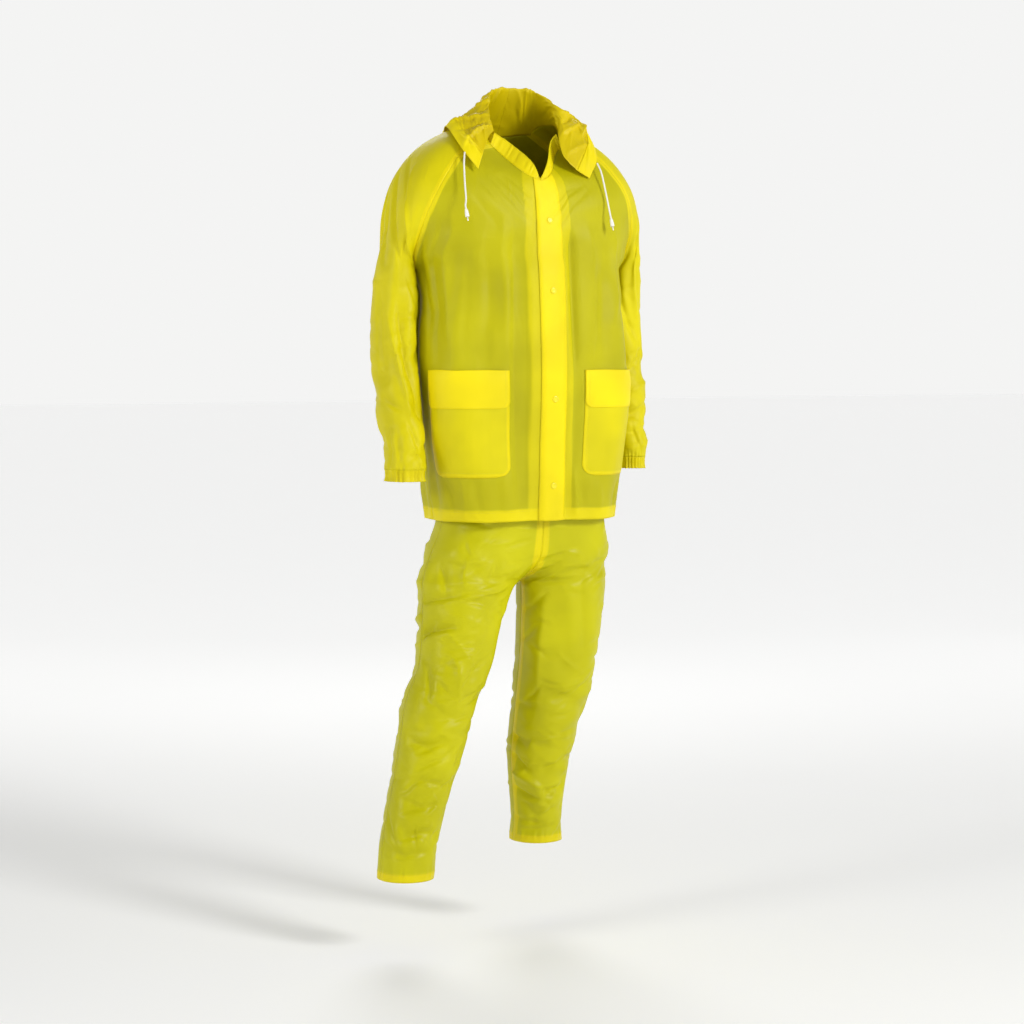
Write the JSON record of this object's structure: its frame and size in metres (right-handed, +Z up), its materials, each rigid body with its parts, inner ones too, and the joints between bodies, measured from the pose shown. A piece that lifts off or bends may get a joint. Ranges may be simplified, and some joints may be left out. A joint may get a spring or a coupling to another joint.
{
  "type": "rain suit",
  "caption": "Hip-length hooded rain jacket with raglan sleeves, snapped storm flap and flapped patch pockets, worn over loose straight trousers, in translucent yellow film.",
  "frame": {"origin": "the base of the wearer's neck, level with the shoulders' highest seam, where the wearer carries the suit; the floor the wearer stands on is 1.545 m lower", "axes": "+Z up, -Y to the front of the jacket, +X to the wearer's left"},
  "size_m": [0.5977, 0.3208, 1.4994],
  "materials": {
    "film": "soft satin film in one layer, slightly translucent",
    "film_bright": "soft satin film in one layer over another, or turned to the light",
    "film_double": "the same film folded double, denser and brighter",
    "snap": "moulded plastic cap",
    "cord": "round braided cord",
    "cord_tip": "moulded plastic cord end"
  },
  "bodies": {
    "root": {"jacket_back": "film", "jacket_front_right": "film", "sleeve_right": "film_bright", "neckband_right": "film_double", "hood_right": "film", "hood_casing_right": "film_double", "pocket_right": "film_bright", "pocket_flap_right": "film_double", "trouser_front_right": "film", "trouser_back_right": "film", "jacket_front_left": "film", "sleeve_left": "film_bright", "neckband_left": "film_double", "hood_left": "film", "hood_casing_left": "film_double", "pocket_left": "film_bright", "pocket_flap_left": "film_double", "trouser_front_left": "film", "trouser_back_left": "film", "front_flap": "film_double", "snap_1": "snap", "snap_2": "snap", "snap_3": "snap", "snap_4": "snap", "cuff_right": "film_bright", "cuff_left": "film_bright", "waistband": "film_double", "drawcord_right": "cord", "cord_tip_right": "cord_tip", "drawcord_left": "cord", "cord_tip_left": "cord_tip"}
  },
  "joints": []
}
